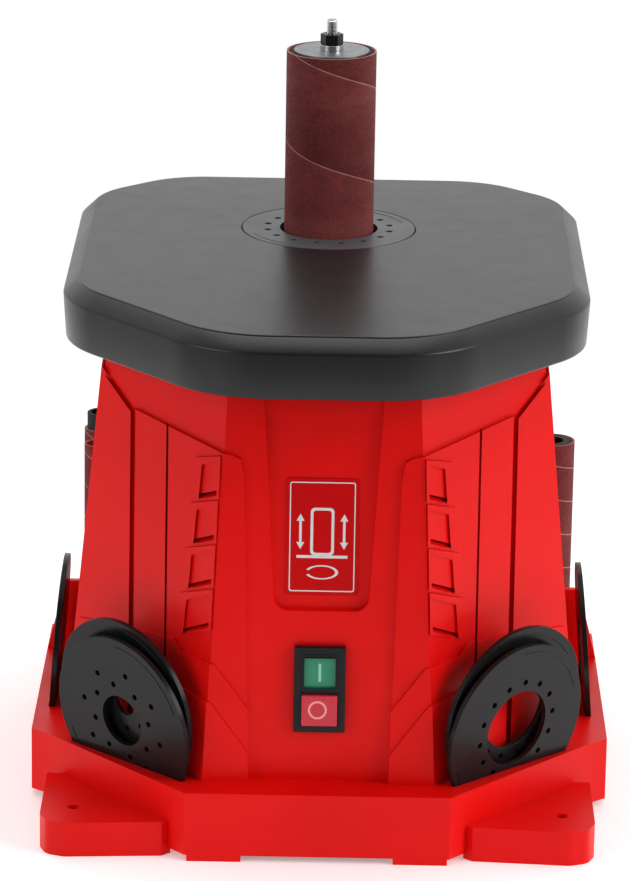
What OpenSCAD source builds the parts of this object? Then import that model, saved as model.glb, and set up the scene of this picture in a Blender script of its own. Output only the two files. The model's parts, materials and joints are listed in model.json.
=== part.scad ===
// Benchtop oscillating spindle sander.
// Millimetres, +Z up, the operator's side is -Y. The origin is on the bench, under the table's centre.

/* [Table] */
// Width of the table, left to right
table_w = 295; // [280:1:300]
// Depth of the table, front to back
table_d = 370; // [364:1:370]
// Height of the table's face above the bench
table_h = 300; // [296:1:310]
// Height of the table's skirt
table_t = 34; // [30:1:38]

/* [Spindle] */
// Distance of the spindle behind the table's centre
spindle_y = 57; // [54:1:60]
// Diameter of the mounted abrasive sleeve
sleeve_dia = 52; // [38:0.5:54]
// Length of the mounted sleeve and its rubber drum
sleeve_len = 115; // [100:1:120]
// Full stroke of the oscillation
stroke = 16; // [10:1:16]

/* [Table inserts] */
// Diameter of an insert disc
insert_dia = 100.6; // [96:0.2:101]
// Diameter of the hole in the insert that is in the table
insert_hole = 57; // [56:0.5:64]
// Thickness of a stored insert disc
disc_t = 3; // [2.4:0.2:3.4]

/* [Base] */
// Greatest width of the base
base_w = 328; // [324:1:332]
// Depth of the base
base_d = 370; // [366:1:370]
// Height of the base's upper face
base_h = 40; // [38:1:42]
// Diameter of the bench bolt holes
bolt_hole = 6.5; // [5:0.5:8]

/* [Housing] */
// Width of the housing at the base
body_w = 288; // [282:1:290]
// How much narrower the housing is under the table
body_taper = 44; // [40:1:48]
// Wall thickness of the mouldings
wall = 3; // [2.4:0.2:3.4]
// Height that the raised side panels stand proud
panel_rise = 2; // [1:0.5:2.5]

/* [Drive] */
// Pitch radius of the motor's pulley
drive_r = 20; // [18:0.5:21]
// Pitch radius of the spindle's pulley
driven_r = 28.5; // [26:0.5:29]
// Number of teeth on the worm wheel
wheel_teeth = 34; // [30:1:36]

/* [Hidden] */
$fn = 96;

red = [0.82, 0.07, 0.06];
black = [0.12, 0.12, 0.13];
steel = [0.72, 0.73, 0.75];
cast = [0.62, 0.63, 0.65];
grit = [0.42, 0.17, 0.13];

// Heights of the main levels
table_under = table_h - table_t;
plate_t = 8;
plate_z = table_under - plate_t;
foot_h = 3.6;
body_z = base_h;
body_rise = table_under - body_z;
body_land = 0.5;

// Fits
run_gap = 0.05;
seat_gap = 0.02;
slide_gap = 0.4;

// Outline helpers: points run anticlockwise, and a positive growth moves every edge outward.
function unit(v) = v / norm(v);
function edge_normal(a, b) = let (d = unit(b - a)) [d[1], -d[0]];
function before(p, i) = p[(i + len(p) - 1) % len(p)];
function after(p, i) = p[(i + 1) % len(p)];
function mitre(a, b, c) =
    let (m = edge_normal(a, b), n = edge_normal(b, c)) (m + n) / (1 + m * n);
function grown(p, g) = [for (i = [0:len(p) - 1]) p[i] + g * mitre(before(p, i), p[i], after(p, i))];
function mirrored(half) = concat(half, [for (i = [len(half) - 1:-1:0]) [-half[i][0], half[i][1]]]);

// Points of an outline whose corners are rounded, each with its own radius.
function corner_arc(a, b, c, r, steps) =
    let (
        centre = b - r * mitre(a, b, c),
        m = edge_normal(a, b),
        n = edge_normal(b, c),
        start = atan2(m[1], m[0]),
        turn = acos(min(1, m * n))
    )
    [for (k = [0:steps]) centre + r * [cos(start + turn * k / steps), sin(start + turn * k / steps)]];
function rounded(p, radii, steps = 10) =
    [for (i = [0:len(p) - 1]) each corner_arc(before(p, i), p[i], after(p, i), radii[i], steps)];

// ---------- Table ----------
table_front = [86, 101];
table_rear = [50, 50];
table_edge = [8.5, 8];
table_draft = 1.5;
table_outline = mirrored([
    [table_w / 2 - table_front[0], -table_d / 2],
    [table_w / 2, table_front[1] - table_d / 2],
    [table_w / 2, table_d / 2 - table_rear[1]],
    [table_w / 2 - table_rear[0], table_d / 2]
]);
table_radii = [70, 70, 60, 60, 60, 60, 70, 70];
insert_t = 4;
insert_r = insert_dia / 2;
table_bolt_at = [60, -80, 120];

module table_slab(inset, thickness) {
    linear_extrude(thickness)
        polygon(rounded(grown(table_outline, -inset), [for (r = table_radii) r - inset]));
}

module table_bolt_places() {
    for (x = [-1, 1] * table_bolt_at[0], y = [table_bolt_at[1], table_bolt_at[2]])
        translate([x, y, 0]) children();
}

module table() {
    skirt = 9;
    face_t = 12;
    color([0.24, 0.25, 0.26]) difference() {
        union() {
            difference() {
                hull() {
                    translate([0, 0, table_under]) table_slab(table_draft, 0.02);
                    translate([0, 0, table_h - table_edge[1]]) table_slab(0, 0.02);
                    translate([0, 0, table_h - 0.02]) table_slab(table_edge[0], 0.02);
                }
                translate([0, 0, table_under - 1]) table_slab(skirt, table_t - face_t + 1);
            }
            translate([0, spindle_y, table_under]) cylinder(h = table_t - 2, r = 60);
            translate([0, 0, table_under]) table_bolt_places() cylinder(h = table_t - 6, r = 10);
        }
        translate([0, spindle_y, table_under - 1]) cylinder(h = table_t + 2, r = 45);
        translate([0, spindle_y, table_h - insert_t]) cylinder(h = insert_t + 1, r = insert_r + 0.5);
        translate([0, 0, table_under - 1]) table_bolt_places() cylinder(h = 22, r = 4);
    }
}

module table_bolts() {
    color(steel) table_bolt_places() {
        translate([0, 0, plate_z - 5.4]) cylinder(h = 5.4, r = 7.5, $fn = 6);
        translate([0, 0, plate_z]) cylinder(h = 26, r = 3.95);
    }
}

// ---------- Base ----------
corner_tab_h = 20;
bench_bolt_at = [136, 158];
side_disc_lean = 4.4;
disc_r = insert_r;
// Stored discs: the front pairs lean back to the housing, and the side ones lean towards it.
// A back disc stands a step inward, higher and further outward than the one in front of it.
front_disc_at = [110, -140, 64.8];
front_disc_turn = 43;
front_disc_lean = 8;
back_disc_step = [5.9, 8, 4];
side_disc_at = [154.4, -10, 66.5];
base_outline = mirrored([
    [73, -base_d / 2],
    [153, 87 - base_d / 2],
    [base_w / 2, 96 - base_d / 2],
    [base_w / 2, base_d / 2 - 96],
    [153, base_d / 2 - 87],
    [73, base_d / 2]
]);
tab_outline = [[78, -170], [86, -178], [140, -182], [150, -178], [154, -168], [154, -106], [120, -110]];
foot_x = [42, 72];
bin_wall_y = 46;
bin_wall_h = 43;

// Places a stored disc's own frame: the face looks along +Z, and local +Y points up.
module at_front_disc(side, step) {
    inward = [-sin(front_disc_turn) * side, cos(front_disc_turn)] * back_disc_step[0] * step;
    outward = [cos(front_disc_turn) * side, sin(front_disc_turn)] * back_disc_step[2] * step;
    translate([
        side * front_disc_at[0] + inward[0] + outward[0],
        front_disc_at[1] + inward[1] + outward[1],
        front_disc_at[2] + back_disc_step[1] * step
    ])
        rotate([0, 0, side * front_disc_turn]) rotate([90 + front_disc_lean, 0, 0]) children();
}

module at_side_disc(side) {
    translate([side * side_disc_at[0], side_disc_at[1], side_disc_at[2]])
        rotate([0, -side * side_disc_lean, 0]) rotate([0, 0, side * 90])
            rotate([90, 0, 0]) children();
}

module disc_slot() {
    translate([0, 0, -disc_t - slide_gap]) cylinder(h = disc_t + 2 * slide_gap, r = disc_r + 0.6);
}

module all_slots() {
    for (side = [-1, 1]) {
        at_front_disc(side, 0) disc_slot();
        at_front_disc(side, 1) disc_slot();
        at_side_disc(side) disc_slot();
    }
}

module slot_blocks() {
    for (side = [-1, 1]) {
        translate([side * front_disc_at[0], front_disc_at[1], foot_h])
            rotate([0, 0, side * front_disc_turn])
                translate([-58, -10, 0]) cube([116, 32, base_h - foot_h]);
        translate([side * 154, -10, foot_h + (base_h - foot_h) / 2])
            cube([24, 116, base_h - foot_h], center = true);
    }
}

module base_slab(inset, z0, z1) {
    translate([0, 0, z0]) linear_extrude(z1 - z0) polygon(grown(base_outline, -inset));
}

module bench_bolt_places() {
    for (x = [-1, 1] * bench_bolt_at[0], y = [-1, 1] * bench_bolt_at[1])
        translate([x, y, 0]) children();
}

module corner_tabs() {
    for (flip = [0, 1], side = [0, 1])
        mirror([side, 0, 0]) mirror([0, flip, 0])
            linear_extrude(corner_tab_h) polygon(rounded(tab_outline, [1, 1, 8, 8, 8, 1, 1], 4));
}

module bin_walls() {
    inner = 118;
    thick = 4;
    for (side = [0, 1])
        mirror([side, 0, 0]) translate([0, bin_wall_y + thick, base_h]) rotate([90, 0, 0])
            linear_extrude(thick)
                polygon([[inner, -1], [base_w / 2, -1], [base_w / 2, 0], [153, bin_wall_h],
                    [inner, bin_wall_h]]);
}

module base_plinth() {
    color(red) difference() {
        union() {
            difference() {
                base_slab(0, foot_h, base_h);
                base_slab(wall, foot_h - 1, base_h - wall);
                translate([0, 0, base_h - wall - 1]) linear_extrude(wall + 2)
                    polygon(grown(body_outline(0), -8));
            }
            intersection() {
                base_slab(1, foot_h, base_h);
                slot_blocks();
            }
            difference() {
                corner_tabs();
                base_slab(wall - 1, -1, base_h);
            }
            for (x = [-1, 1], y = [-1, 1])
                translate([x * (foot_x[0] + foot_x[1]) / 2, y * (base_d / 2 - 9), (foot_h + 2) / 2])
                    cube([foot_x[1] - foot_x[0], 18, foot_h + 2], center = true);
            difference() {
                bin_walls();
                translate([0, 0, -0.02]) body_form(panel_rise + 0.02);
            }
            translate([0, 0, foot_h]) base_screw_places() cylinder(h = base_h - foot_h - 1, r = 7);
        }
        all_slots();
        translate([0, 0, -1]) bench_bolt_places() cylinder(h = corner_tab_h + 2, r = bolt_hole / 2);
        base_screw_places() cylinder(h = 24, r = base_screw_r + run_gap);
    }
}

cover_t = 1.6;
cover_inset = 20;
base_screw_at = [138, -76, 62, 156];
base_screw_r = 1.95;

module base_screw_places() {
    for (x = [-1, 1] * base_screw_at[0], i = [1, 2]) translate([x, base_screw_at[i], 0]) children();
    for (y = [-1, 1] * base_screw_at[3]) translate([0, y, 0]) children();
}

module bottom_cover() {
    color(steel) translate([0, 0, foot_h - cover_t]) linear_extrude(cover_t) difference() {
        polygon(grown(base_outline, -cover_inset));
        base_screw_places() circle(r = base_screw_r + 0.4);
    }
}

module base_screws() {
    head_h = 1.4;
    color(steel) translate([0, 0, foot_h - cover_t]) base_screw_places() {
        translate([0, 0, -head_h]) cylinder(h = head_h, r = 3.6);
        cylinder(h = 16, r = base_screw_r);
    }
}

// ---------- Housing ----------
body_front = 161;
body_back = 150;
front_lean = 15;
front_half = 62;
shoulder_y = 70;
front_slope = atan(front_lean / (body_rise - body_land));

// Outline of the housing at a share t of its height.
function body_outline(t) = mirrored([
    [front_half - 9.6 * t, front_lean * t - body_front],
    [body_w / 2 - body_taper / 2 * t, -shoulder_y],
    [body_w / 2 - body_taper / 2 * t, 50],
    [122 - 10 * t, 77],
    [112 - 8 * t, body_back]
]);

// Room beside the housing for the stored drums.
drum_bay = [[122, 76], [138, 52], [200, 52], [200, 200], [122, 200]];

module body_form(growth) {
    difference() {
        hull() {
            translate([0, 0, body_z]) linear_extrude(body_land)
                polygon(grown(body_outline(0), growth));
            translate([0, 0, table_under - body_land]) linear_extrude(body_land)
                polygon(grown(body_outline(1), growth));
        }
        for (side = [0, 1])
            mirror([side, 0, 0]) translate([0, 0, body_z - 10]) linear_extrude(body_rise + 20)
                polygon(grown(drum_bay, -growth));
    }
}

// Extrudes a front-view shape, drawn in X and Z, from the front back to y1, on both sides.
module front_prism(y1) {
    for (side = [0, 1])
        mirror([side, 0, 0]) translate([0, y1, 0]) rotate([90, 0, 0]) linear_extrude(y1 + 180) children();
}

// Local frame on the sloping front face: +X right, +Y up the face, +Z outward.
module on_front(z) {
    translate([0, -body_front, body_z + body_land]) rotate([90 - front_slope, 0, 0])
        translate([0, (z - body_z - body_land) / cos(front_slope), 0]) children();
}

panel_top = [[160, 286], [124, 249], [107, 233], [87, 230], [50, 224.5], [45, 222], [43, 211]];
groove_outer_x = 107;
groove_inner_x = 86.5;
groove_depth = 1.2;
skirt_upper = [[39.4, 81], [58.5, 106.4], [77, 107.4], [81, 113], [107, 109], [150, 100], [160, 98]];
skirt_lower = [[39.1, 56.2], [60.5, 85.2], [80, 88], [90, 94], [160, 94]];

module panel_shape() {
    polygon(concat([[38.8, body_z - 5], [160, body_z - 5]], panel_top));
}

// Grooves that divide the raised panel, cut a little way into the wall behind it.
module groove_shape() {
    translate([groove_outer_x - 1.8, body_z]) square([2.8, 233 - body_z]);
    translate([groove_inner_x - 0.6, body_z]) square([1.2, 230.4 - body_z]);
    polygon([[107, 233.4], [126, 252], [129.6, 252], [108, 230.4], [105.2, 230.6]]);
}

module skirt_shape(line) {
    polygon(concat([[38.9, body_z - 5]], line, [[160, body_z - 5]]));
}

louvre_count = 4;
function louvre(i, edge) =
    let (
        a = i / (louvre_count - 1),
        inner = 56 + 3.5 * a,
        outer = 70 + 8 * a,
        top = 224 - 25 * i,
        drop = 5.5 + 3.5 * a,
        h = 23.5
    )
    [
        [inner + edge * 0.4, top - edge],
        [outer - edge, top - drop - edge * 0.8],
        [outer + 1.6 - edge, top - drop - h + edge * 0.3],
        [inner + 0.8 + edge * 0.4, top - h + edge * 0.3]
    ];

module louvre_frames() {
    for (i = [0:louvre_count - 1]) difference() {
        polygon(louvre(i, 0));
        polygon(louvre(i, 3.4));
    }
}

module louvre_slits() {
    for (i = [0:louvre_count - 1]) {
        p = louvre(i, 3.4);
        polygon([p[3], p[2], p[2] + [0, 2.2], p[3] + [0, 2.2]]);
    }
}

recess_depth = 4;
recess_ledge = 208;
recess_points = [[-33.5, 230], [-26, 97], [26, 97], [33.5, 230]];
module recess_shape(growth) {
    polygon(rounded(grown(recess_points, growth), [0.1, 8 + growth, 8 + growth, 0.1], 5));
}

// The recess is only half as deep above a ledge near its top.
module recess_cut() {
    translate([0, 0, -recess_depth / 2]) linear_extrude(20) recess_shape(0);
    translate([0, 0, -recess_depth]) linear_extrude(20) intersection() {
        recess_shape(0);
        translate([-50, 0]) square([100, recess_ledge]);
    }
}

post_at = [88, -88, 108];
module post_places() {
    for (x = [-1, 1] * post_at[0], y = [post_at[1], post_at[2]]) translate([x, y, 0]) children();
}

module posts() {
    rib = 60;
    intersection() {
        body_form(-wall / 2);
        translate([0, 0, body_z]) union() {
            post_places() cylinder(h = plate_z - body_z, r = 8);
            for (x = [0, 1], y = [post_at[1], post_at[2]]) mirror([x, 0, 0])
                translate([post_at[0], y - 3, 0]) cube([rib, 6, plate_z - body_z]);
        }
    }
}

switch_z = 93;
switch_size = [28.4, 49];
switch_lip = 3;
rear_opening = [144, 188];
rear_opening_z = 164;

module housing_shell() {
    color(red) difference() {
        union() {
            difference() {
                union() {
                    body_form(0);
                    intersection() {
                        body_form(panel_rise);
                        front_prism(52) panel_shape();
                    }
                    intersection() {
                        body_form(panel_rise + 1.5);
                        front_prism(-74) {
                            skirt_shape(skirt_upper);
                            louvre_frames();
                        }
                    }
                    intersection() {
                        body_form(panel_rise + 3);
                        front_prism(-76) skirt_shape(skirt_lower);
                    }
                }
                difference() {
                    translate([0, 0, -0.02]) body_form(-wall);
                    on_front(body_z) translate([0, 0, -recess_depth - wall])
                        linear_extrude(recess_depth + wall + 9) recess_shape(wall);
                }
                translate([0, 0, table_under - 1]) linear_extrude(2) polygon(grown(body_outline(1), -wall));
                translate([0, 0, body_z - 1]) linear_extrude(1.04) polygon(grown(body_outline(0), -wall));
            }
            posts();
        }
        difference() {
            front_prism(-74) groove_shape();
            body_form(-groove_depth);
        }
        on_front(body_z) recess_cut();
        on_front(switch_z)
            cube([switch_size[0] - switch_lip, switch_size[1] - switch_lip, 40], center = true);
        front_prism(-90) louvre_slits();
        translate([0, body_back, rear_opening_z])
            cube([rear_opening[0], 20, rear_opening[1]], center = true);
        post_places() translate([0, 0, plate_z - 30]) cylinder(h = 40, r = 2.6);
        translate([gland_at[0], body_back, gland_at[1]]) rotate([90, 0, 0])
            cylinder(h = 20, r = 8.05, center = true);
    }
}

rear_plate = [158, 200];
rear_t = 3;
port_z = 239;
port_r = 19;
port_bore = 15.5;
rear_screw_at = [75.5, 69, 164, 259];

module rear_screw_places() {
    for (x = [-1, 1] * rear_screw_at[0], i = [1:3]) translate([x, body_back, rear_screw_at[i]]) children();
}

module rear_cover() {
    vent = [60, 3.4];
    color(red) difference() {
        translate([0, body_back + rear_t / 2, rear_opening_z])
            cube([rear_plate[0], rear_t, rear_plate[1]], center = true);
        translate([0, body_back, port_z]) rotate([-90, 0, 0])
            cylinder(h = 3 * rear_t, r = 17.6, center = true);
        for (i = [0:6], x = [-1, 1] * 35)
            translate([x, body_back, 96 + 10 * i]) cube([vent[0], 20, vent[1]], center = true);
        rear_screw_places() rotate([-90, 0, 0]) cylinder(h = 3 * rear_t, r = 2.2, center = true);
    }
}

module rear_screws() {
    color(steel) rear_screw_places() rotate([-90, 0, 0]) {
        translate([0, 0, rear_t]) cylinder(h = 2.2, r = 4);
        translate([0, 0, 0.02]) cylinder(h = rear_t, r = 1.95);
    }
}

gland_at = [92, 56];
module cable_gland() {
    color(black) translate([gland_at[0], body_back, gland_at[1]]) rotate([-90, 0, 0]) difference() {
        union() {
            cylinder(h = 3, r = 11);
            translate([0, 0, -wall]) cylinder(h = wall, r = 8);
            translate([0, 0, 3]) cylinder(h = 9, r = 7.5);
            translate([0, 0, -wall - 3]) cylinder(h = 3, r = 10);
        }
        translate([0, 0, -10]) cylinder(h = 30, r = 4);
    }
}

badge_size = [40, 66];
module badge_plate() {
    color([0.75, 0.1, 0.1]) on_front(178) translate([0, 0, -recess_depth])
        linear_extrude(0.8) square(badge_size, center = true);
}

// ---------- Frame inside the housing ----------
rod_x = 60;
rod_r = 5;
hood_r = 50;
hood_z = 218;
motor_y = -50;
plate_outline = grown(body_outline((plate_z - body_z) / body_rise), -wall - 2.5);

module rod_places() {
    for (x = [-1, 1] * rod_x) translate([x, spindle_y, 0]) children();
}

module standoff_places() {
    for (x = [-1, 1] * 37, y = [-1, 1] * 37) translate([x, motor_y + y, 0]) children();
}

module drive_plate() {
    color(cast) difference() {
        translate([0, 0, plate_z]) linear_extrude(plate_t) polygon(plate_outline);
        translate([0, spindle_y, plate_z - 1]) cylinder(h = plate_t + 2, r = 45);
        translate([0, motor_y, plate_z - 1]) cylinder(h = plate_t + 2, r = 22);
        on_front(body_z) translate([0, 0, -recess_depth - wall - 1]) linear_extrude(40)
            recess_shape(wall + 1);
        translate([0, 0, plate_z - 1]) {
            table_bolt_places() cylinder(h = plate_t + 2, r = 4.2);
            post_places() cylinder(h = plate_t + 2, r = 3.4);
            rod_places() cylinder(h = plate_t + 2, r = rod_r + seat_gap);
            standoff_places() cylinder(h = plate_t + 2, r = 2.7);
        }
    }
}

module plate_bolts() {
    color(steel) translate([0, 0, table_under]) {
        post_places() {
            cylinder(h = 4, r = 5.5, $fn = 6);
            translate([0, 0, -34]) cylinder(h = 34, r = 2.55);
        }
        standoff_places() {
            cylinder(h = 3.5, r = 4.5, $fn = 6);
            translate([0, 0, -plate_t - 38]) cylinder(h = plate_t + 38, r = 2.5);
        }
    }
}

module dust_hood() {
    thick = 3;
    color(black) difference() {
        translate([0, spindle_y, hood_z]) cylinder(h = plate_z - hood_z, r = hood_r);
        translate([0, spindle_y, hood_z + thick]) cylinder(h = plate_z - hood_z, r = hood_r - thick);
        translate([0, spindle_y, hood_z - 1]) cylinder(h = thick + 2, r = 10);
        translate([0, spindle_y, port_z]) rotate([-90, 0, 0]) cylinder(h = hood_r + 5, r = port_bore);
    }
}

module dust_duct() {
    color(black) difference() {
        translate([0, spindle_y, port_z]) rotate([-90, 0, 0])
            cylinder(h = body_back + rear_t - spindle_y, r = 17.5);
        translate([0, spindle_y, port_z]) rotate([-90, 0, 0])
            cylinder(h = body_back + rear_t, r = port_bore);
        translate([0, spindle_y, hood_z - 5]) cylinder(h = 60, r = hood_r);
    }
}

module dust_port() {
    color(black) translate([0, body_back + rear_t, port_z]) rotate([-90, 0, 0]) difference() {
        union() {
            cylinder(h = 3, r = 24);
            cylinder(h = 28, r = port_r);
        }
        translate([0, 0, -1]) cylinder(h = 40, r = port_bore);
    }
}

// ---------- Motor ----------
can_r = 52;
can_z = 105;
can_top = 226;
shaft_r = 7;
stator_z = [128, 204];
capacitor_at = [-78, motor_y + 38, 130];
capacitor_r = 16;

module at_motor() {
    translate([0, motor_y, 0]) children();
}

module motor_can() {
    color([0.3, 0.32, 0.34]) at_motor() difference() {
        union() {
            translate([0, 0, can_z]) cylinder(h = can_top - can_z, r = can_r);
            for (a = [0:15:345]) rotate([0, 0, a])
                translate([can_r - 0.5, -1, can_z + 18]) cube([3, 2, can_top - can_z - 36]);
            translate([0, -motor_y, can_top - 20]) standoff_places()
                cylinder(h = plate_z - can_top + 20, r = 6);
            translate([0, -motor_y, 0]) capacitor_bracket();
        }
        translate([0, 0, can_z + 12]) cylinder(h = can_top - can_z - 24, r = can_r - 3.5);
        translate([0, 0, can_z + 2]) cylinder(h = 20, r = 16);
        translate([0, 0, can_top - 11]) cylinder(h = 9, r = 16);
        translate([0, 0, can_z - 1]) cylinder(h = can_top, r = 9);
        translate([0, -motor_y, can_top - 12]) standoff_places()
            cylinder(h = plate_z - can_top + 13, r = 2.6);
        translate(capacitor_at) translate([0, -motor_y, -1]) cylinder(h = 80, r = capacitor_r + seat_gap);
    }
}

// Band round the run capacitor, on an arm from the motor's can.
module capacitor_bracket() {
    translate(capacitor_at) translate([0, 0, 20]) {
        cylinder(h = 16, r = capacitor_r + 2);
        translate([0, -6, 0]) cube([46, 12, 16]);
    }
}

module motor_stator() {
    color([0.5, 0.5, 0.52]) at_motor() translate([0, 0, stator_z[0]]) difference() {
        cylinder(h = stator_z[1] - stator_z[0], r = can_r - 3.52);
        translate([0, 0, -1]) cylinder(h = 90, r = 31);
    }
}

module motor_windings() {
    color([0.72, 0.4, 0.2]) at_motor() for (z = [stator_z[0] - 9, stator_z[1]])
        translate([0, 0, z]) difference() {
            cylinder(h = 9, r = 46);
            translate([0, 0, -1]) cylinder(h = 11, r = 33);
        }
}

module ring(r_in, r_out, h) {
    difference() {
        cylinder(h = h, r = r_out);
        translate([0, 0, -1]) cylinder(h = h + 2, r = r_in);
    }
}

module motor_bearings() {
    color(steel) at_motor() for (z = [can_z + 2.5, can_top - 10.5])
        translate([0, 0, z]) ring(shaft_r + run_gap, 16 - seat_gap, 8);
}

module run_capacitor() {
    color([0.85, 0.85, 0.82]) translate(capacitor_at) {
        cylinder(h = 66, r = capacitor_r);
        translate([0, 0, 66]) cylinder(h = 4, r = 8);
    }
}

module rotor_core() {
    color([0.55, 0.55, 0.57]) at_motor() translate([0, 0, stator_z[0]]) ring(shaft_r, 30, 76);
}

module rotor_shaft() {
    color(steel) at_motor() translate([0, 0, 44]) cylinder(h = 206, r = shaft_r);
}

module motor_fan() {
    blades = 8;
    color(black) at_motor() translate([0, 0, can_top + 4]) difference() {
        union() {
            cylinder(h = 16, r = 12);
            cylinder(h = 2, r = 38);
            for (k = [0:blades - 1]) rotate([0, 0, 360 / blades * k])
                translate([8, -1, 0]) cube([30, 2, 16]);
        }
        translate([0, 0, -1]) cylinder(h = 20, r = shaft_r);
    }
}

// ---------- Belt drive ----------
belt_z = 50;
belt_h = 12;
belt_t = 3;
belt_centres = spindle_y - motor_y;
wrap = asin((driven_r - drive_r) / belt_centres);

// Outline round both pulleys: two circles and the tangents between them.
module belt_outline(extra) {
    a = drive_r + extra;
    b = driven_r + extra;
    translate([0, motor_y]) circle(r = a);
    translate([0, spindle_y]) circle(r = b);
    polygon([
        [a * cos(wrap), motor_y - a * sin(wrap)],
        [b * cos(wrap), spindle_y - b * sin(wrap)],
        [-b * cos(wrap), spindle_y - b * sin(wrap)],
        [-a * cos(wrap), motor_y - a * sin(wrap)]
    ]);
}

module pulley(radius, bore) {
    flange = 2;
    difference() {
        union() {
            translate([0, 0, -flange]) cylinder(h = flange, r = radius + 3.5);
            cylinder(h = belt_h + 1, r = radius);
            translate([0, 0, belt_h + 1]) cylinder(h = flange, r = radius + 3.5);
        }
        translate([0, 0, -10]) cylinder(h = 60, r = bore);
    }
}

module drive_pulley() {
    color(cast) at_motor() translate([0, 0, belt_z]) pulley(drive_r, shaft_r);
}

module drive_belt() {
    color([0.07, 0.07, 0.07]) translate([0, 0, belt_z + 0.5]) linear_extrude(belt_h) difference() {
        belt_outline(belt_t);
        belt_outline(run_gap);
    }
}

hub_r = 10;
hub_top = 93.4;
key_w = 3;
bridge_z = 74;
bridge_t = 16;

module at_spindle() {
    translate([0, spindle_y, 0]) children();
}

module driven_pulley() {
    color(cast) at_spindle() difference() {
        union() {
            translate([0, 0, belt_z]) pulley(driven_r, 6 + run_gap);
            translate([0, 0, belt_z + belt_h]) cylinder(h = hub_top - belt_z - belt_h, r = hub_r);
        }
        translate([0, 0, belt_z - 10]) cylinder(h = 60, r = 6 + run_gap);
        translate([0, -key_w / 2 - run_gap, belt_z - 10]) cube([7.8, key_w + 2 * run_gap, 60]);
    }
}

module pulley_collar() {
    color(steel) at_spindle() translate([0, 0, hub_top - 3]) ring(hub_r, 14, 2.6);
}

module lower_bridge() {
    color(cast) difference() {
        translate([-rod_x - 14, spindle_y - 26, bridge_z]) cube([2 * rod_x + 28, 52, bridge_t]);
        at_spindle() translate([0, 0, bridge_z + 3]) cylinder(h = bridge_t, r = 21);
        at_spindle() translate([0, 0, bridge_z - 1]) cylinder(h = bridge_t, r = 16);
        rod_places() translate([0, 0, bridge_z + 4]) cylinder(h = bridge_t, r = rod_r + seat_gap);
    }
}

module bridge_bearing() {
    color(steel) at_spindle() translate([0, 0, bridge_z + 3]) ring(hub_r + run_gap, 21 - seat_gap, 12);
}

module guide_rods() {
    color(steel) rod_places() translate([0, 0, bridge_z + 4])
        cylinder(h = table_under - bridge_z - 4, r = rod_r);
}

// ---------- Oscillating carriage ----------
carriage_z = 112;
carriage_h = 90;
bearing_t = 10;
bearing_seats = [carriage_z + 2, carriage_z + carriage_h - 2 - bearing_t];
worm_z = 150;
worm_r = 9;
wheel_r = 17;
wheel_t = 9;
wheel_gap = 0.5;
wheel_y = spindle_y + worm_r + wheel_r + wheel_gap;
crank_throw = stroke / 2;
cheek_x = 7;
cheek_t = 5;

module carriage() {
    tube_r = 22;
    color(cast) difference() {
        union() {
            at_spindle() translate([0, 0, carriage_z]) cylinder(h = carriage_h, r = tube_r);
            translate([-rod_x, spindle_y - 5, 130]) cube([2 * rod_x, 10, 40]);
            rod_places() translate([0, 0, 126]) cylinder(h = 48, r = 10);
            for (x = [-cheek_x - cheek_t, cheek_x])
                translate([x, spindle_y, worm_z - 20]) cube([cheek_t, wheel_y - spindle_y + 8, 40]);
        }
        at_spindle() {
            translate([0, 0, carriage_z - 1]) cylinder(h = carriage_h + 2, r = 12);
            for (z = bearing_seats) translate([0, 0, z]) cylinder(h = bearing_t, r = 16);
            translate([0, 0, carriage_z - 1]) cylinder(h = 4, r = 16);
            translate([0, 0, carriage_z + carriage_h - 3]) cylinder(h = 4, r = 16);
        }
        translate([-cheek_x, spindle_y, worm_z - 20]) cube([2 * cheek_x, 40, 40]);
        rod_places() translate([0, 0, 120]) cylinder(h = 60, r = rod_r + run_gap);
        translate([-30, wheel_y, worm_z]) rotate([0, 90, 0]) cylinder(h = 60, r = 4 + run_gap);
    }
}

module spindle_bearings() {
    color(steel) at_spindle() for (z = bearing_seats)
        translate([0, 0, z]) ring(6 + run_gap, 16 - seat_gap, bearing_t);
}

module worm_wheel() {
    root = wheel_r - 1.8;
    tip = 360 / wheel_teeth;
    color([0.75, 0.62, 0.3]) translate([-wheel_t / 2, wheel_y, worm_z]) rotate([0, 90, 0])
        linear_extrude(wheel_t) difference() {
            polygon([for (k = [0:wheel_teeth - 1]) each [
                root * [cos(tip * k), sin(tip * k)],
                wheel_r * [cos(tip * (k + 0.35)), sin(tip * (k + 0.35))],
                wheel_r * [cos(tip * (k + 0.65)), sin(tip * (k + 0.65))]
            ]]);
            circle(r = 4);
        }
}

module crank_arm() {
    arm_x = cheek_x + cheek_t + 6;
    color(steel) {
        translate([-cheek_x - cheek_t - 2, wheel_y, worm_z]) rotate([0, 90, 0])
            cylinder(h = arm_x + 4 + cheek_x + cheek_t, r = 4);
        translate([arm_x, wheel_y, worm_z]) rotate([0, 90, 0]) cylinder(h = 5, r = 12);
        translate([arm_x, wheel_y + crank_throw, worm_z]) rotate([0, 90, 0]) cylinder(h = 15, r = 2.5);
    }
}

module crank_guide() {
    x = 25;
    thick = 6;
    reach = crank_throw + 3;
    rise = stroke + 3.5;
    color(cast) difference() {
        translate([x, wheel_y - reach - 5, bridge_z + bridge_t])
            cube([thick, 2 * reach + 10, worm_z + rise + 6 - bridge_z - bridge_t]);
        translate([x - 1, wheel_y - reach, worm_z - rise]) cube([thick + 2, 2 * reach, 2 * rise]);
    }
}

// ---------- Spindle, drum and clamp ----------
sleeve_r = sleeve_dia / 2;
drum_top = table_h + 105.4;
drum_z = drum_top - sleeve_len;
flange_t = 3.5;
shoulder_z = carriage_z + carriage_h;
arbor_r = 6.35;
stud_r = 3.2;
cap_t = 1.5;
nut_washer_t = 3.2;
stud_top = drum_top + 18.6;

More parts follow.
